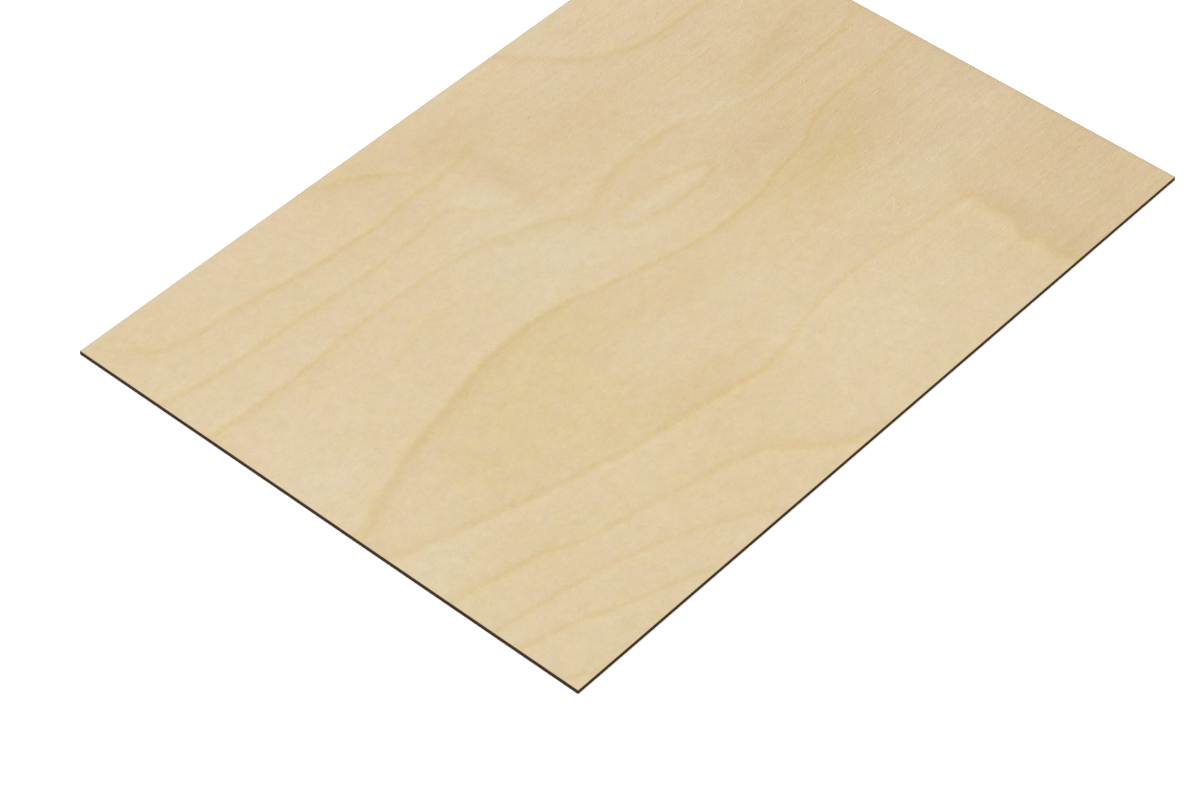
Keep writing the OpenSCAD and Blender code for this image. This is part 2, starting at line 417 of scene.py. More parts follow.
def outline(inset, spacing=0.5):
    """Closed loop round the sheet, set in by inset, always with the same number of points."""
    r = max(CORNER - inset, 0.02)
    cx, cy = LX - inset - r, LY - inset - r
    nx, ny, na = int(round(2 * LX / spacing)), int(round(2 * LY / spacing)), 5
    pts = []
    for qx, qy, start, n in ((1, -1, -90, ny), (1, 1, 0, nx), (-1, 1, 90, ny), (-1, -1, 180, nx)):
        for i in range(na):
            t = math.radians(start + 90 * i / (na - 1))
            pts.append((qx * cx + r * math.cos(t), qy * cy + r * math.sin(t)))
        t = math.radians(start + 90)
        a = np.array(pts[-1])
        step = np.array((-math.sin(math.radians(start)), math.cos(math.radians(start))))
        if start == -90:
            b = np.array((LX - inset, cy))
        elif start == 0:
            b = np.array((-cx, LY - inset))
        elif start == 90:
            b = np.array((-(LX - inset), -cy))
        else:
            b = np.array((cx, -(LY - inset)))
        for i in range(1, n):
            pts.append(tuple(a + (b - a) * i / n))
    return np.array(pts)


def grid_lines(half, step):
    """Grid lines from -half to half: close to step apart, with one support line near each end."""
    inner = half - 0.4
    n = int(round(2 * inner / step))
    return np.concatenate([[-half], np.linspace(-inner, inner, n + 1), [half]])


def rim_of(nx, ny, base):
    """Vertex numbers round the edge of an nx by ny grid, counter-clockwise seen from above, from the lower right."""
    i = lambda a, b: base + b * nx + a
    return (
        [i(nx - 1, b) for b in range(0, ny - 1)]
        + [i(a, ny - 1) for a in range(nx - 1, 0, -1)]
        + [i(0, b) for b in range(ny - 1, 0, -1)]
        + [i(a, 0) for a in range(0, nx - 1)]
    )


def zip_loops(inner, outer, at):
    """Triangles between two closed loops that run the same way, the inner one to the left of the outer."""
    tris, i, j, ni, nj = [], 0, 0, len(inner), len(outer)
    start = min(range(nj), key=lambda k: np.hypot(*(at[outer[k]] - at[inner[0]])[:2]))
    outer = outer[start:] + outer[:start]
    while i < ni or j < nj:
        a, b = inner[i % ni], outer[j % nj]
        a2, b2 = inner[(i + 1) % ni], outer[(j + 1) % nj]
        if j >= nj or (i < ni and np.hypot(*(at[a2] - at[b])[:2]) <= np.hypot(*(at[b2] - at[a])[:2])):
            tris.append((a, b, a2))
            i += 1
        else:
            tris.append((a, b, b2))
            j += 1
    return tris


def build_sheet():
    hx, hy = LX - ARRIS, LY - ARRIS
    # good face
    gx, gy = grid_lines(hx, 1.5), grid_lines(hy, 0.8)
    X, Y = np.meshgrid(gx, gy)
    tx, ty = X.ravel(), Y.ravel()
    rings = ring_fields(tx, ty)
    drift, blush = drift_fields(tx, ty)
    # Sanded relief, all of it below the true face: the dense ring lines stand highest, the softer wood between them lies
    # two or three hundredths lower, with the long fibres and a slow sanding wave on top.
    dense = sum(f[:, 1] * profile(f[:, 0]) for f in rings.values())
    relief = 0.016 * (1 - np.clip(dense, 0, 1.2) / 1.2)
    relief += 0.010 * lattice(tx / 7.0, ty / 1.1) + 0.008 * lattice(tx / 40.0 + 9, ty / 26.0 + 5)
    relief -= relief.min()
    near_rim = smooth(np.minimum(hx - np.abs(tx), hy - np.abs(ty)) / 1.2)
    top = np.stack([tx, ty, TOP - relief * near_rim], 1)
    # back face, a little coarser
    bx, by = grid_lines(hx, 3.0), grid_lines(hy, 2.0)
    X, Y = np.meshgrid(bx, by)
    ux, uy = X.ravel(), Y.ravel()
    relief = 0.014 * lattice(ux / 30.0 + 3, uy / 5.0 + 7) + 0.012 * lattice(ux / 9.0, uy / 2.0 + 31)
    relief -= relief.min()
    near_rim = smooth(np.minimum(hx - np.abs(ux), hy - np.abs(uy)) / 2.5)
    back = np.stack([ux, uy, relief * near_rim], 1)
    # cut wall, from the top arris down to the bottom one
    levels = [
        (1.465, 0.045, 0.0), (1.41, 0.0, 0.4), (1.23, 0.0, 1.0), (1.03, 0.0, 1.0), (0.97, 0.0, 1.35), (0.75, 0.0, 1.5),
        (0.53, 0.0, 1.35), (0.47, 0.0, 1.0), (0.27, 0.0, 1.0), (0.09, 0.0, 0.4), (0.035, 0.045, 0.0),
    ]
    loops = []
    flat = outline(0.0)
    run = np.concatenate([[0], np.cumsum(np.hypot(*np.diff(flat, axis=0).T))])
    straight = np.minimum(np.abs(np.abs(flat[:, 0]) - LX), np.abs(np.abs(flat[:, 1]) - LY)) < 1e-6
    for z, inset, depth in levels:
        loop = outline(inset)
        # the beam's upright streaks, a little deeper in the middle ply
        cut = 0.020 * lattice(run / 0.8 + z * 0.35, np.full(len(run), 3.3)) + 0.012 * lattice(run / 2.7 + z * 0.2, np.full(len(run), 17.6))
        cut = (cut - 0.006) * depth * np.where(straight, 1.0, 0.3)
        cut = np.clip(cut, 0, None)
        away = np.zeros_like(loop)
        on_x = np.abs(np.abs(flat[:, 0]) - LX) < 1e-6
        on_y = np.abs(np.abs(flat[:, 1]) - LY) < 1e-6
        away[on_x, 0] = -np.sign(flat[on_x, 0])
        away[on_y, 1] = -np.sign(flat[on_y, 1])
        loop = loop + away * cut[:, None]
        loops.append(np.column_stack([loop, np.full(len(loop), z * TOP / 1.5)]))
    verts = np.vstack([top, back] + loops)
    n_top, n_back, n_loop = len(top), len(back), len(flat)
    nx, ny = len(gx), len(gy)
    mx, my = len(bx), len(by)

    def quads(w, h, base, flip):
        a = (base + np.arange(h - 1)[:, None] * w + np.arange(w - 1)[None, :]).ravel()
        q = np.stack([a, a + 1, a + 1 + w, a + w], 1)
        return q[:, ::-1] if flip else q

    top_quads = quads(nx, ny, 0, False)
    back_quads = quads(mx, my, n_top, True)
    first = n_top + n_back
    wall = []
    k = np.arange(n_loop)
    for row in range(len(levels) - 1):
        a, b = first + row * n_loop, first + (row + 1) * n_loop
        wall.append(np.stack([a + k, b + k, b + (k + 1) % n_loop, a + (k + 1) % n_loop], 1))
    wall = np.vstack(wall)
    upper = zip_loops(rim_of(nx, ny, 0), list(first + k), verts)
    lower = zip_loops(rim_of(mx, my, n_top), list(first + (len(levels) - 1) * n_loop + k), verts)
    lower = [t[::-1] for t in lower]
    tris = np.array(upper + lower)

    mesh = bpy.data.meshes.new(PIECE)
    n_quads = len(top_quads) + len(back_quads) + len(wall)
    corners = np.concatenate([top_quads.ravel(), back_quads.ravel(), wall.ravel(), tris.ravel()])
    starts = np.concatenate([np.arange(n_quads) * 4, n_quads * 4 + np.arange(len(tris)) * 3])
    mesh.vertices.add(len(verts))
    mesh.vertices.foreach_set("co", (verts * MM).astype(np.float32).ravel())
    mesh.loops.add(len(corners))
    mesh.loops.foreach_set("vertex_index", corners.astype(np.int32))
    mesh.polygons.add(len(starts))
    mesh.polygons.foreach_set("loop_start", starts.astype(np.int32))
    which = np.concatenate([
        np.zeros(len(top_quads)), np.ones(len(back_quads)), np.full(len(wall), 2), np.full(len(tris), 2),
    ]).astype(np.int32)
    mesh.polygons.foreach_set("material_index", which)
    mesh.update(calc_edges=True)
    mesh.validate()
    mesh.polygons.foreach_set("use_smooth", np.ones(len(starts), bool))

    # What the face's material reads from the mesh
    for name, values in list(rings.items()) + [("drift", drift), ("blush", blush)]:
        whole = np.zeros((len(verts), 3), np.float32)
        whole[:n_top] = values
        layer = mesh.attributes.new(name, "FLOAT_VECTOR", "POINT")
        layer.data.foreach_set("vector", whole.ravel())

    # A map laid out for a texture of the sheet: the good face large, the back below it, then the four walls
    co = verts[corners]
    kind = np.repeat(which, np.concatenate([np.full(n_quads, 4), np.full(len(tris), 3)]))
    is_lower = np.zeros(len(corners), bool)
    is_lower[n_quads * 4 + 3 * len(upper):] = True
    uv = np.zeros((len(corners), 2))
    across_x, across_y = (co[:, 0] + LX) / (2 * LX), (co[:, 1] + LY) / (2 * LY)
    uv[:, 0] = 0.006 + 0.988 * across_x
    uv[:, 1] = 0.400 + 0.594 * across_y
    under = (kind == 1) | is_lower
    uv[under, 1] = 0.090 + 0.296 * across_y[under]
    middle = np.zeros((len(starts), 3))
    sums = np.add.reduceat(co, starts, axis=0)
    middle = sums / np.diff(np.append(starts, len(corners)))[:, None]
    mid = np.repeat(middle, np.diff(np.append(starts, len(corners))), axis=0)
    walls = (kind == 2) & (np.arange(len(corners)) < n_quads * 4)
    gap_x, gap_y = LX - np.abs(mid[:, 0]), LY - np.abs(mid[:, 1])
    for s, (on, along) in enumerate([
        (walls & (gap_y <= gap_x) & (mid[:, 1] < 0), across_x), (walls & (gap_y <= gap_x) & (mid[:, 1] >= 0), across_x),
        (walls & (gap_x < gap_y) & (mid[:, 0] < 0), across_y), (walls & (gap_x < gap_y) & (mid[:, 0] >= 0), across_y),
    ]):
        uv[on, 0] = 0.006 + 0.988 * along[on]
        uv[on, 1] = 0.006 + 0.020 * s + 0.014 * co[on, 2] / TOP
    layer = mesh.uv_layers.new(name="OFBake")
    layer.data.foreach_set("uv", uv.astype(np.float32).ravel())

    piece = bpy.data.objects.new(PIECE, mesh)
    scene.collection.objects.link(piece)
    return piece


# ---------------------------------------------------------------------------------------------------------------------
# Materials
# ---------------------------------------------------------------------------------------------------------------------
def linear(r, g, b):
    """An 8-bit display colour as scene-linear."""
    out = []
    for c in (r / 255, g / 255, b / 255):
        out.append(c / 12.92 if c <= 0.04045 else ((c + 0.055) / 1.055) ** 2.4)
    return (*out, 1.0)


class Graph:
    """Short names for the nodes that the materials are made of."""

    def __init__(self, name):
        self.mat = bpy.data.materials.new(name)
        self.mat.use_nodes = True
        self.tree = self.mat.node_tree
        self.tree.nodes.clear()
        self.out = self.tree.nodes.new("ShaderNodeOutputMaterial")
        self.bsdf = self.tree.nodes.new("ShaderNodeBsdfPrincipled")
        self.tree.links.new(self.bsdf.outputs[0], self.out.inputs["Surface"])
        coords = self.tree.nodes.new("ShaderNodeTexCoord").outputs["Object"]
        self.P = self.scale(coords, 1000.0)

    def put(self, socket, value):
        if isinstance(value, bpy.types.NodeSocket):
            self.tree.links.new(value, socket)
        else:
            socket.default_value = value

    def math(self, op, a, b=0.0, c=0.0, clamp=False):
        n = self.tree.nodes.new("ShaderNodeMath")
        n.operation, n.use_clamp = op, clamp
        for s, v in zip(n.inputs, (a, b, c)):
            self.put(s, v)
        return n.outputs[0]

    def add(self, *terms):
        total = terms[0]
        for t in terms[1:]:
            total = self.math("ADD", total, t)
        return total

    def mul(self, *terms):
        total = terms[0]
        for t in terms[1:]:
            total = self.math("MULTIPLY", total, t)
        return total

    def vec(self, op, a, b):
        n = self.tree.nodes.new("ShaderNodeVectorMath")
        n.operation = op
        self.put(n.inputs[0], a)
        self.put(n.inputs[1], b)
        return n.outputs["Value" if op in ("LENGTH", "DISTANCE", "DOT_PRODUCT") else "Vector"]

    def scale(self, a, k):
        n = self.tree.nodes.new("ShaderNodeVectorMath")
        n.operation = "SCALE"
        self.put(n.inputs[0], a)
        self.put(n.inputs["Scale"], k)
        return n.outputs["Vector"]

    def split(self, v):
        n = self.tree.nodes.new("ShaderNodeSeparateXYZ")
        self.put(n.inputs[0], v)
        return n.outputs[0], n.outputs[1], n.outputs[2]

    def join(self, x, y, z=0.0):
        n = self.tree.nodes.new("ShaderNodeCombineXYZ")
        for s, v in zip(n.inputs, (x, y, z)):
            self.put(s, v)
        return n.outputs[0]

    def noise(self, vector, sx, sy, seed=0.0, detail=2.0, rough=0.5, lac=2.0, sz=0.0):
        """Noise about 0, whose features are about sx mm along the grain and sy mm across it."""
        v = self.vec("MULTIPLY", vector, (1 / sx, 1 / sy, sz))
        v = self.vec("ADD", v, (seed * 1.37, seed * 2.11, seed * 0.73))
        n = self.tree.nodes.new("ShaderNodeTexNoise")
        n.noise_dimensions = "3D"
        self.put(n.inputs["Vector"], v)
        n.inputs["Scale"].default_value = 1.0
        n.inputs["Detail"].default_value = detail
        n.inputs["Roughness"].default_value = rough
        n.inputs["Lacunarity"].default_value = lac
        return self.math("SUBTRACT", n.outputs[0], 0.5)

    def noise3(self, *args, **kw):
        """Three independent noises of one size."""
        n = self.noise(*args, **kw).node.inputs[0].links[0].from_node
        return tuple(self.math("SUBTRACT", s, 0.5) for s in self.split(n.outputs["Color"]))

    def ramp(self, value, stops, mode="B_SPLINE"):
        n = self.tree.nodes.new("ShaderNodeValToRGB")
        n.color_ramp.interpolation = mode
        e = n.color_ramp.elements
        while len(e) < len(stops):
            e.new(0.5)
        for slot, (at, *v) in zip(e, stops):
            slot.position = at
            slot.color = (v[0], v[1 % len(v)], v[2 % len(v)], 1.0)
        self.put(n.inputs[0], value)
        return n.outputs[0]

    def step(self, value, a, b, to_min=0.0, to_max=1.0):
        n = self.tree.nodes.new("ShaderNodeMapRange")
        n.interpolation_type = "SMOOTHSTEP"
        for s, v in zip(n.inputs, (value, a, b, to_min, to_max)):
            self.put(s, v)
        return n.outputs[0]

    def mix(self, fac, a, b, blend="MIX", clamp=True):
        n = self.tree.nodes.new("ShaderNodeMix")
        n.data_type, n.blend_type, n.clamp_factor = "RGBA", blend, clamp
        self.put(n.inputs["Factor"], fac)
        for s in n.inputs:
            if s.type == "RGBA" and s.name == "A":
                self.put(s, a)
            if s.type == "RGBA" and s.name == "B":
                self.put(s, b)
        return next(o for o in n.outputs if o.type == "RGBA")

    def steps(self, base, terms):
        """base, a display colour, moved by each (how much, (display steps)) as a share of itself."""
        b = linear(*base)
        total = (1.0, 1.0, 1.0)
        for fac, step in terms:
            m = linear(*(c + d for c, d in zip(base, step)))
            k = tuple((m[i] - b[i]) / (b[i] - GLOSS) for i in range(3))
            n = self.tree.nodes.new("ShaderNodeVectorMath")
            n.operation = "MULTIPLY_ADD"
            self.put(n.inputs[0], fac)
            self.put(n.inputs[1], k)
            self.put(n.inputs[2], total)
            total = n.outputs[0]
        return self.vec("MULTIPLY", total, tuple((b[i] - GLOSS) / LIGHT for i in range(3)))

    def attribute(self, name):
        n = self.tree.nodes.new("ShaderNodeAttribute")
        n.attribute_type, n.attribute_name = "GEOMETRY", name
        return n.outputs["Vector"]

    def dashes(self, vector, cell_x, cell_y, seed, share, half_len, half_wide):
        """Short strokes along the grain, one in some cells: 1 in the middle of a stroke. Lengths and places vary."""
        v = self.vec("ADD", self.vec("MULTIPLY", vector, (1 / cell_x, 1 / cell_y, 0.0)), (seed * 3.1, seed * 1.7, 0.5))
        n = self.tree.nodes.new("ShaderNodeTexVoronoi")
        n.voronoi_dimensions, n.feature = "2D", "F1"
        n.inputs["Scale"].default_value = 1.0
        n.inputs["Randomness"].default_value = 1.0
        self.put(n.inputs["Vector"], v)
        away = self.vec("SUBTRACT", v, n.outputs["Position"])
        ax, ay, _ = self.split(away)
        r, g, b = self.split(n.outputs["Color"])
        long = self.mul(self.math("ABSOLUTE", ax), cell_x)
        wide = self.mul(self.math("ABSOLUTE", ay), cell_y)
        reach = self.math("MULTIPLY_ADD", g, half_len, half_len * 0.5)
        end = self.step(self.math("DIVIDE", long, reach), 1.0, 0.35)
        side = self.step(wide, half_wide, half_wide * 0.25)
        on = self.step(r, 1 - share, 1 - share * 0.6)
        return self.mul(end, side, on, self.math("MULTIPLY_ADD", b, 0.7, 0.3))


def finish_wood(g, colour, rough, height, bump_mm, gloss=0.30):
    g.put(g.bsdf.inputs["Base Color"], colour)
    g.put(g.bsdf.inputs["Roughness"], rough)
    g.bsdf.inputs["Specular IOR Level"].default_value = gloss
    g.bsdf.inputs["IOR"].default_value = 1.5
    bump = g.tree.nodes.new("ShaderNodeBump")
    bump.inputs["Strength"].default_value = 1.0
    bump.inputs["Distance"].default_value = bump_mm * MM
    g.put(bump.inputs["Height"], height)
    g.tree.links.new(bump.outputs[0], g.bsdf.inputs["Normal"])
    return g.mat


def wavy(g):
    """The coordinates with the grain's own slow waves taken out of them, so that fibres bend with it."""
    slow = g.noise(g.P, 70, 34, seed=4, detail=1.0)
    x, y, z = g.split(g.P)
    return g.join(x, g.math("MULTIPLY_ADD", slow, 5.0, y), z)


LIGHT, GLOSS = 1.143, 0.0267  # how bright white lies under these lamps, and what the wood's own gloss adds to it
BASE = (223.2, 202.4, 166.0)


def shade(dr, dg, db, base=BASE):
    """The albedo that looks like base moved by these display steps."""
    m = linear(base[0] + dr, base[1] + dg, base[2] + db)
    return tuple(max(c - GLOSS, 0.004) / LIGHT for c in m[:3]) + (1.0,)


def face_material():
    g = Graph("birch_face")
    W = wavy(g)
    x, y, _ = g.split(g.P)
    right = g.step(g.math("MULTIPLY_ADD", y, 0.25, x), -16.0, 118.0)  # how much of the far end's fleck and fibre shows
    quiet = g.step(x, -50.0, 90.0)

    # noises, from broad to fine
    big = g.noise3(W, 24, 13, seed=5, detail=3.0, rough=0.55)
    med = g.noise3(W, 5.4, 4.6, seed=7, detail=2.0, rough=0.55)
    small = g.noise3(W, 2.1, 1.9, seed=6, detail=2.0, rough=0.6)
    fine = g.noise3(W, 0.95, 0.88, seed=8, detail=1.0, rough=0.55)
    fibre = g.noise(W, 8.0, 0.62, seed=9, detail=1.5, rough=0.55)
    fibre_long = g.noise(W, 24.0, 1.1, seed=10, detail=2.0, rough=0.6)

    # growth-ring lines: red of the ramp is the line, green its wider golden glow, blue the shade of its soft flank
    slow = g.noise(g.P, 16, 11, seed=1, detail=1.0)
    quick = g.noise(g.P, 3.2, 2.2, seed=2, detail=2.0, rough=0.6)
    jag = g.noise3(g.P, 1.5, 1.3, seed=3, detail=1.0, rough=0.6)
    wobble = g.add(g.mul(slow, 0.8), g.mul(quick, 1.3), g.mul(jag[0], 1.1))
    stops = [(-7, 0.0, 0.0, 0.0), (-5.5, 0.0, 0.01, 0.10), (-4.0, 0.01, 0.03, 0.32), (-2.6, 0.05, 0.09, 0.62), (-1.7, 0.10, 0.24, 0.85),
             (-1.0, 0.26, 0.52, 1.0), (-0.5, 0.75, 0.86, 0.95), (-0.05, 1.48, 1.05, 0.70), (0.35, 1.42, 1.10, 0.42), (0.75, 0.55, 1.02, 0.16),
             (1.2, -0.05, 0.84, 0.0), (1.7, -0.24, 0.56, 0.0), (2.4, -0.28, 0.28, 0.0), (3.4, -0.20, 0.08, 0.0), (5.0, -0.06, 0.0, 0.0), (7, 0.0, 0.0, 0.0)]
    stops = [((u + 7) / 14, v + 0.30, w, q) for u, v, w, q in stops]
    line = glow = flank = None
    for name in ("ring_a", "ring_b", "ring_c"):
        u, strength, soft = g.split(g.attribute(name))
        t = g.math("MULTIPLY_ADD", g.add(u, wobble), 1 / 14, 0.5)
        core, halo, tail = g.split(g.ramp(t, stops))
        core, halo, tail = g.mul(g.math("SUBTRACT", core, 0.30), strength), g.mul(halo, strength), g.mul(tail, soft)
        line = core if line is None else g.add(line, core)
        glow = halo if glow is None else g.add(glow, halo)
        flank = tail if flank is None else g.add(flank, tail)
    line = g.mul(line, g.math("MULTIPLY_ADD", g.add(fibre_long, quick, jag[1]), 1.1, 1.0))
    glow = g.mul(glow, g.math("MULTIPLY_ADD", g.add(med[2], jag[2]), 0.9, 1.0))

    tan, gold, pale = g.split(g.attribute("drift"))
    rosy, _, _ = g.split(g.attribute("blush"))
    calm = g.math("MULTIPLY_ADD", quiet, -0.60, 1.0)  # the fine colour mottle is weaker where the flecks are strong
    yellow = g.add(g.mul(big[1], 1.4), g.mul(med[0], g.math("MULTIPLY_ADD", right, -0.6, 2.9)), g.mul(g.add(g.mul(small[0], 2.6), g.mul(fine[1], 0.7)), calm))
    pink = g.add(g.mul(big[2], 1.2), g.mul(med[1], 2.1), g.mul(g.add(g.mul(small[1], 1.9), g.mul(fine[2], 0.3)), calm), rosy)
    streak = g.mul(right, g.math("MULTIPLY_ADD", fibre_long, 1.6, g.mul(fibre, 0.9)))
    colour = g.steps(BASE, [
        (g.add(tan, g.mul(big[0], 0.35), g.mul(streak, 0.46)), (-9, -11.5, -14)),
        (g.add(gold, g.mul(streak, 0.32)), (-1.5, -2.6, -9)),
        (pale, (0.9, 3.8, 8.8)),
        (pink, (2.2, -2.2, 0)),
        (yellow, (-0.8, -1.3, -6.5)),
        (line, (-3.1, -4.4, -6.5)),
        (glow, (-0.1, -0.9, -5.2)),
        (flank, (-6.0, -8.0, -12)),
    ])
    # flecks: long pale fibres in loose groups, each with its own painted thin shadow, and on the left short ticks lying
    # any way, each a painted highlight with a painted shadow beside it
    group = g.step(g.noise(W, 17, 6, seed=14, detail=2.0), -0.10, 0.12, 0.35, 1.25)
    # the flecks' painted shadows: each stroke again, set 0.42 mm across the grain, darkens the colour
    under = g.vec("ADD", W, (0.0, 0.42, 0.0))
    light, shadow = (g.dashes(v, 7.0, 1.2, 1, 0.60, 2.5, 0.22) for v in (W, under))
    light2, shadow2 = (g.dashes(v, 3.8, 0.95, 2, 0.45, 1.3, 0.21) for v in (W, under))
    dark = g.dashes(W, 6.0, 1.4, 3, 0.25, 1.8, 0.22)
    fleck_gain = g.mul(g.math("MULTIPLY_ADD", right, 0.92, 0.08), group)
    tick = brush = None
    for turn, seed, weight in ((38, 51, 1.0), (-44, 52, 0.7)):
        c, s = math.cos(math.radians(turn)), math.sin(math.radians(turn))
        across = g.join(g.add(g.mul(x, c), g.mul(y, s)), g.add(g.mul(y, c), g.mul(x, -s)))
        brush = brush or g.noise(across, 3.4, 0.75, seed=53, detail=1.5, rough=0.55)  # faint sanding on the slant
        mark = g.dashes(across, 2.8, 1.9, seed, 0.45, 0.85, 0.27)
        # the tick's painted shadow: the same stroke set 0.42 mm across it and taken off the colour
        tick_shadow = g.dashes(g.vec("ADD", across, (0.0, 0.42, 0.0)), 2.8, 1.9, seed, 0.45, 0.85, 0.27)
        mark = g.mul(g.math("MULTIPLY_ADD", tick_shadow, -0.75, mark), weight)
        tick = mark if tick is None else g.add(tick, mark)
    # relief here is a brightness gain painted into the colour: partly the wood's own mottle and fibre, partly painted
    # light and shade of raised fibres, flecks and ticks
    relief = g.add(
        g.mul(fine[0], g.math("MULTIPLY_ADD", right, 0.01, 0.105)), g.mul(small[2], g.math("MULTIPLY_ADD", right, -0.01, 0.14)), g.mul(med[2], g.math("MULTIPLY_ADD", right, -0.02, 0.10)), g.mul(big[0], 0.02),
        g.mul(fibre, g.math("MULTIPLY_ADD", right, 0.11, 0.01)), g.mul(fibre_long, g.math("MULTIPLY_ADD", right, 0.26, 0.01)), g.mul(brush, g.math("MULTIPLY_ADD", right, 0.08, 0.015)),
        g.mul(g.add(light, g.mul(light2, 0.9)), fleck_gain, 0.128), g.mul(g.add(shadow, g.mul(shadow2, 0.9)), fleck_gain, -0.08),
        g.mul(dark, fleck_gain, -0.08), g.mul(tick, g.math("MULTIPLY_ADD", right, 0.070, 0.055)),
    )
    # the fibres' light and shade is a neutral one, so it lifts blue by a larger share than red
    gains = [g.mul(relief, g.math("MULTIPLY_ADD", quiet, k, k0)) for k, k0 in ((-0.12, 0.96), (0.0, 1.09), (0.22, 1.08))]
    colour = g.vec("MULTIPLY", colour, g.join(*(g.add(1.0, k) for k in gains)))

    # a few dark specks and three fine pale scratches
    for sx, sy, size, depth in ((28, 74.2, 0.45, 0.32), (98, 77.5, 0.55, 0.28), (99.8, -0.6, 0.45, 0.30), (-107.5, 71, 0.40, 0.12),
                                (77.1, -45, 0.40, 0.22), (86.7, -34, 0.35, 0.10)):
        away = g.vec("DISTANCE", g.vec("MULTIPLY", g.P, (0.6, 1.0, 0.0)), (sx * 0.6, float(sy), 0.0))
        colour = g.mix(g.mul(g.step(away, size, size * 0.3), depth), colour, shade(-110, -115, -105))
    for sx, sy, turn, half, wide, depth in ((74.6, -44.8, 37, 6.5, 0.48, 0.55), (89.2, -39.2, 37, 4.6, 0.30, 0.30), (-39.5, 46.4, -8, 3.4, 0.30, 0.60)):
        ax, ay = g.math("SUBTRACT", x, sx), g.math("SUBTRACT", y, sy)
        c, s = math.cos(math.radians(turn)), math.sin(math.radians(turn))
        along = g.add(g.mul(ax, c), g.mul(ay, s))
        off = g.math("ABSOLUTE", g.add(g.mul(ay, c), g.mul(ax, -s), g.mul(quick, 0.5)))
        nick = g.mul(g.step(off, wide, wide * 0.2), g.step(g.math("ABSOLUTE", along), half, half * 0.45))
        colour = g.mix(g.mul(nick, depth), colour, shade(7, 9, 14))

    # the heat of the cut tints a hair of the rim, and the last two millimetres of the far end
    gap_x = g.math("SUBTRACT", LX, g.math("ABSOLUTE", x))
    gap_y = g.math("SUBTRACT", LY, g.math("ABSOLUTE", y))
    gap = g.math("MINIMUM", gap_x, gap_y)
    ragged = g.noise(g.P, 2.4, 2.4, seed=12, detail=3.0)
    end = g.math("MULTIPLY_ADD", ragged, 0.9, g.math("SUBTRACT", LX, x))
    colour = g.mix(g.step(end, 2.4, 0.0, 0.0, 0.16), colour, shade(-34, -42, -46))
    colour = g.mix(g.step(g.math("MULTIPLY_ADD", ragged, 0.10, gap), 0.24, 0.14, 0.0, 0.35), colour, shade(-110, -115, -100))
    # the beam lingered along the other end and scorched a quarter of a millimetre of it
    colour = g.mix(g.step(g.math("MULTIPLY_ADD", ragged, 0.08, g.add(x, LX)), 0.30, 0.20, 0.0, 0.85), colour, EDGE_MID)

    rough = g.add(0.60, g.mul(fibre, 0.16), g.mul(g.math("MAXIMUM", line, 0.0), -0.05), g.mul(dark, 0.10))
    height = g.add(g.mul(fibre, g.math("MULTIPLY_ADD", right, 0.5, 0.4)), g.mul(fibre_long, 0.5), g.mul(fine[0], 0.6), g.mul(dark, -0.8), g.mul(light, 0.3))
    return finish_wood(g, colour, rough, height, 0.015)


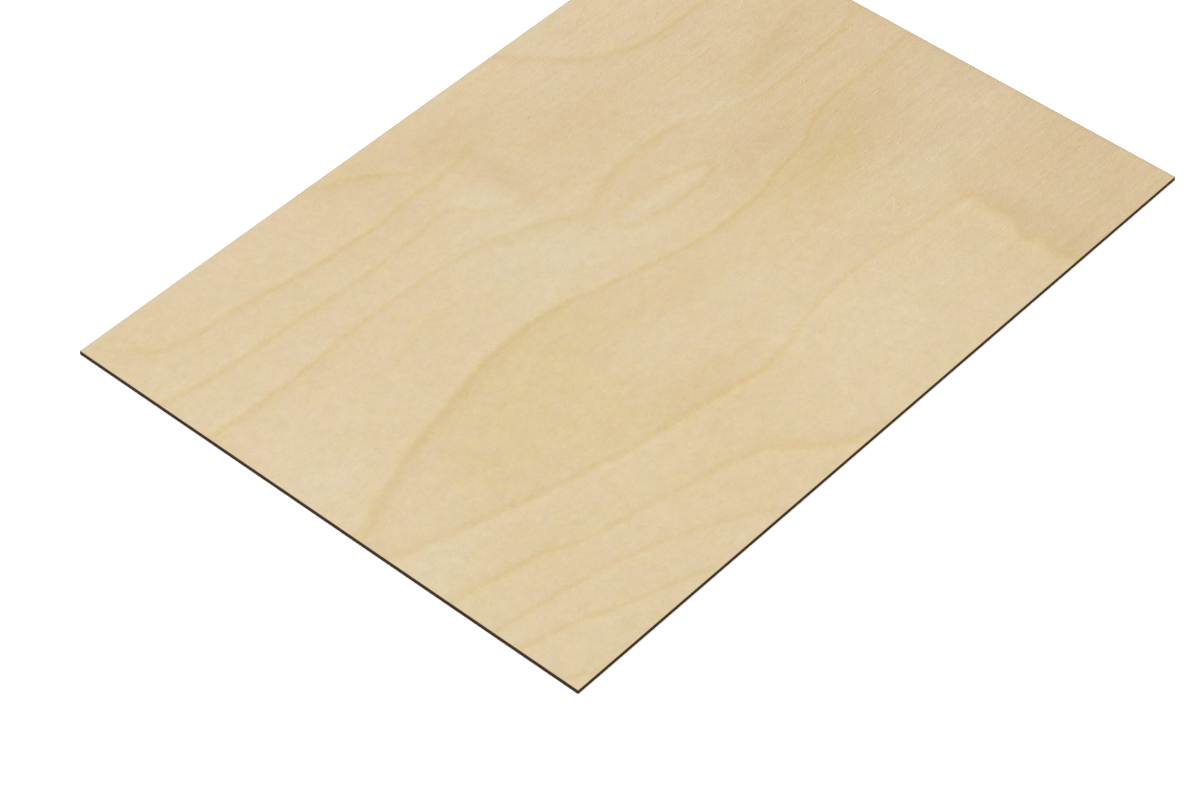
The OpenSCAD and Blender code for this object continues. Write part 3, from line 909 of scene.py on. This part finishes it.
def back_material():
    g = Graph("birch_back")
    W = wavy(g)
    x, y, _ = g.split(g.P)
    hill = g.noise(g.P, 210, 95, seed=21, detail=1.5, rough=0.45)
    tilt = g.add(g.mul(hill, 9.0), g.mul(y, 1 / 52), g.mul(x, 1 / 900), g.mul(g.noise(g.P, 9, 5, seed=22, detail=2.0), 0.05))
    t = g.math("FRACT", tilt)
    stops = [(0.0, 0.0), (0.40, 0.04), (0.62, 0.16), (0.78, 0.42), (0.86, 0.95), (0.895, 1.0), (0.925, 0.30), (0.95, -0.10), (1.0, 0.0)]
    line = g.math("SUBTRACT", g.split(g.ramp(t, [(u, v + 0.25) for u, v in stops], "EASE"))[0], 0.25)
    line = g.mul(line, g.math("MULTIPLY_ADD", g.noise(W, 60, 30, seed=23), 1.4, 0.75))
    big = g.noise3(W, 44, 20, seed=25, detail=3.0)
    small = g.noise3(W, 3.4, 2.0, seed=27, detail=3.0, rough=0.6)
    fibre = g.noise(W, 7.0, 0.6, seed=28, detail=3.0, rough=0.6)
    base = (220.0, 198.0, 160.0)
    colour = g.steps(base, [
        (g.math("MULTIPLY_ADD", big[0], 1.6, 0.2), (-8, -10, -13)),
        (g.add(g.mul(big[1], 2.0), g.mul(small[0], 1.6)), (-1.5, -2.5, -8)),
        (g.add(g.mul(big[2], 1.0), g.mul(small[1], 0.9)), (2.2, -2.2, 0)),
        (line, (-6, -8.5, -16)),
    ])
    light = g.dashes(W, 7.5, 1.4, 31, 0.30, 2.4, 0.22)
    dark = g.dashes(W, 6.0, 1.4, 33, 0.30, 2.0, 0.20)
    bright = g.add(1.0, g.mul(fibre, 0.14), g.mul(small[2], 0.08), g.mul(light, 0.055), g.mul(dark, -0.06))
    colour = g.vec("MULTIPLY", colour, g.join(bright, bright, bright))
    gap = g.math("MINIMUM", g.math("SUBTRACT", LX, g.math("ABSOLUTE", x)), g.math("SUBTRACT", LY, g.math("ABSOLUTE", y)))
    gap = g.math("MULTIPLY_ADD", g.noise(g.P, 3.0, 3.0, seed=32, detail=3.0), 1.2, gap)
    # smoke from under the cut stains the back more than the good face
    colour = g.mix(g.step(gap, 2.6, 0.0, 0.0, 0.35), colour, shade(-60, -72, -74, base))
    colour = g.mix(g.step(gap, 0.35, 0.05, 0.0, 0.60), colour, shade(-110, -112, -98, base))
    rough = g.add(0.64, g.mul(fibre, 0.16), g.mul(dark, 0.10))
    height = g.add(g.mul(fibre, 1.0), g.mul(small[2], 0.6), g.mul(dark, -0.8), g.mul(line, 0.4))
    return finish_wood(g, colour, rough, height, 0.025)


def edge_material():
    """Charred brown wall: upright beam streaks over three plies that show only as faint bands."""
    g = Graph("charred_edge")
    x, y, z = g.split(g.P)
    along = g.add(x, y)
    flat = g.join(along, z)
    streak = g.noise(flat, 0.34, 2.6, seed=41, detail=3.0, rough=0.6)
    broad = g.noise(flat, 6.0, 3.0, seed=42, detail=2.0)
    speck = g.noise(flat, 0.5, 0.12, seed=43, detail=2.0, rough=0.6)
    thirds = g.math("ABSOLUTE", g.math("SUBTRACT", z, TOP / 2))
    core = g.step(g.math("MULTIPLY_ADD", speck, 0.06, thirds), TOP * 0.18, TOP * 0.15)
    glue = g.mul(g.step(g.math("ABSOLUTE", g.math("SUBTRACT", thirds, TOP / 6)), 0.045, 0.015), 0.5)
    # a painted highlight along the wall's top arris: its top 0.16 mm turns a lighter brown
    lip_highlight = g.step(z, TOP - 0.16, TOP)
    colour = g.mix(g.math("MULTIPLY_ADD", streak, 0.8, 0.42), EDGE_DARK, EDGE_MID)
    colour = g.mix(g.mul(g.add(core, g.mul(broad, 0.6)), 0.30), colour, EDGE_CORE, clamp=True)
    colour = g.mix(glue, colour, EDGE_GLUE)
    colour = g.mix(g.mul(lip_highlight, 0.10), colour, EDGE_LIP_HIGHLIGHT)
    rough = g.add(0.78, g.mul(streak, 0.2), g.mul(glue, -0.15))
    height = g.add(g.mul(streak, 1.0), g.mul(speck, 0.5), g.mul(glue, -0.4), g.mul(core, -0.3))
    return finish_wood(g, colour, rough, height, 0.05, gloss=0.08)


EDGE_DARK = linear(43, 30, 16)
EDGE_MID = linear(66, 49, 29)
EDGE_CORE = linear(48, 34, 19)
EDGE_GLUE = linear(38, 27, 16)
# the lighter brown of the painted highlight along the wall's top arris
EDGE_LIP_HIGHLIGHT = linear(92, 69, 42)

make_camera()
make_light()
make_floor()
sheet = build_sheet()
for made in (face_material(), back_material(), edge_material()):
    sheet.data.materials.append(made)
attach(sheet, "root")
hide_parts(NODE)
